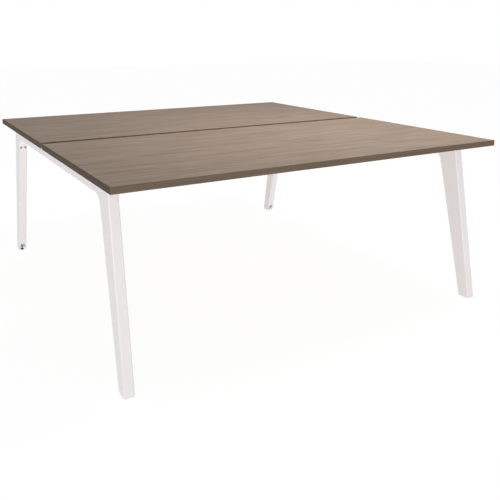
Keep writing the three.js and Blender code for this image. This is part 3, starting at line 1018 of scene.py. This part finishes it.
# %% [markdown]
# ### Wood screws
#
# Wood screws go up through the tabs into the boards. They could be heads alone, because only the heads show,
# from below. Their coarse thread is modelled too, so that a worktop can also be shown taken off.

# %% Wood screws
WOOD_SCREW_HEAD = 2.6 * MM

wood_screw = cross_screw(radius=2.3 * MM, pitch=2 * MM, length=18 * MM,
                         head_radius=4.8 * MM, head_height=WOOD_SCREW_HEAD)
wood_screws = [f"{top}_screw_{end}_{index}" for top in TOPS for end in ENDS for index in (1, 2)]
for node in wood_screws:
    seat = middle_of(node)
    seat.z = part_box(node)[0].z + WOOD_SCREW_HEAD
    dress(twin(wood_screw, shift=seat), node, grey_zinc)

print("wood screws:", len(wood_screws), "of", len(wood_screw.data.polygons), "faces")
bpy.data.objects.remove(wood_screw)

# %% [markdown]
# ## Levelling glides
#
# Each foot stands on a glide: a threaded stud with a hexagon for a spanner, and a nylon pad under it. The
# notch in the leg lets the spanner in, so the stud shows there. The hexagon could be a six-sided bar alone,
# but a real one has its corners turned off, and that is what a cylinder with chamfered rims and such a bar
# have in common. The stud and the pad ride on bodies of their own, because the stud turns and the pad
# doesn't.

# %% Glide studs
STUD_RADIUS = 5 * MM
STUD_PITCH = 1.5 * MM
STUD_TIP_RADIUS = 4 * MM
STUD_NECK = 1 * MM
HEX_FLATS = 17 * MM
HEX_HEIGHT = 7 * MM
HEX_CHAMFER = 1.2 * MM

stud_low, stud_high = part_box("right_rear_glide_stud")
pad_low, pad_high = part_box("right_rear_glide_pad")
glide_place = ((pad_low.x + pad_high.x) / 2, (pad_low.y + pad_high.y) / 2, 0)


def glide_stud():
    """The stud, standing on the origin's axis: tip, hexagon and thread."""
    bottom = pad_high.z + STUD_NECK
    top = bottom + HEX_HEIGHT
    middle = (bottom + top) / 2
    stud = rod("stud", HEX_FLATS / math.sqrt(3), (0, 0, bottom), (0, 0, top), sides=48)
    bevel(stud, lambda e: lies(e, Z, bottom) or lies(e, Z, top), HEX_CHAMFER, segments=1)
    carve(stud, hexagon(HEX_FLATS, bottom - HEX_HEIGHT, top + HEX_HEIGHT), "INTERSECT")
    carve(stud, rod("tip", STUD_TIP_RADIUS, (0, 0, stud_low.z), (0, 0, middle), sides=32), "UNION")
    carve(stud, thread(STUD_RADIUS, STUD_PITCH, middle, stud_high.z), "UNION")
    shade(stud)
    return stud


stud = settle(glide_stud(), shift=glide_place)
print("glide studs:", len(CORNERS), "of", len(stud.data.polygons), "faces")
dress_corners(stud, "glide_stud", bright_zinc, rides="stud")

# %% [markdown]
# The pad could be turned from an outline, but it takes only a few moves from a cylinder: its top face is
# pushed up and drawn in to a neck, then inset and sunk to make the socket for the stud.

# %% Glide pads
PAD_RIM_HEIGHT = 4 * MM
PAD_NECK_RADIUS = 8.5 * MM
PAD_SOCKET_DEPTH = 5 * MM
PAD_CHAMFER = 1 * MM


def glide_pad():
    """The pad, standing on the origin: rim, cone, neck and socket."""
    rim_radius = (pad_high.x - pad_low.x) / 2
    pad = rod("pad", rim_radius, (0, 0, 0), (0, 0, PAD_RIM_HEIGHT), sides=64)
    choose(pad, "FACE", lambda f: lies(f, Z, PAD_RIM_HEIGHT))
    push((0, 0, pad_high.z - PAD_RIM_HEIGHT))
    draw_in = PAD_NECK_RADIUS / rim_radius
    bpy.ops.transform.resize(value=(draw_in, draw_in, 1), center_override=(0, 0, pad_high.z))
    bpy.ops.mesh.inset(thickness=PAD_NECK_RADIUS - STUD_TIP_RADIUS - FIT)
    push((0, 0, -PAD_SOCKET_DEPTH))
    bevel(pad, lambda e: lies(e, Z, 0), PAD_CHAMFER, segments=4)
    bevel(pad, lambda e: lies(e, Z, PAD_RIM_HEIGHT), PAD_CHAMFER / 2, segments=3)
    shade(pad)
    return pad


pad = settle(glide_pad(), shift=glide_place)
print("glide pads:", len(CORNERS), "of", len(pad.data.polygons), "faces")
dress_corners(pad, "glide_pad", polyamide, rides="pad")
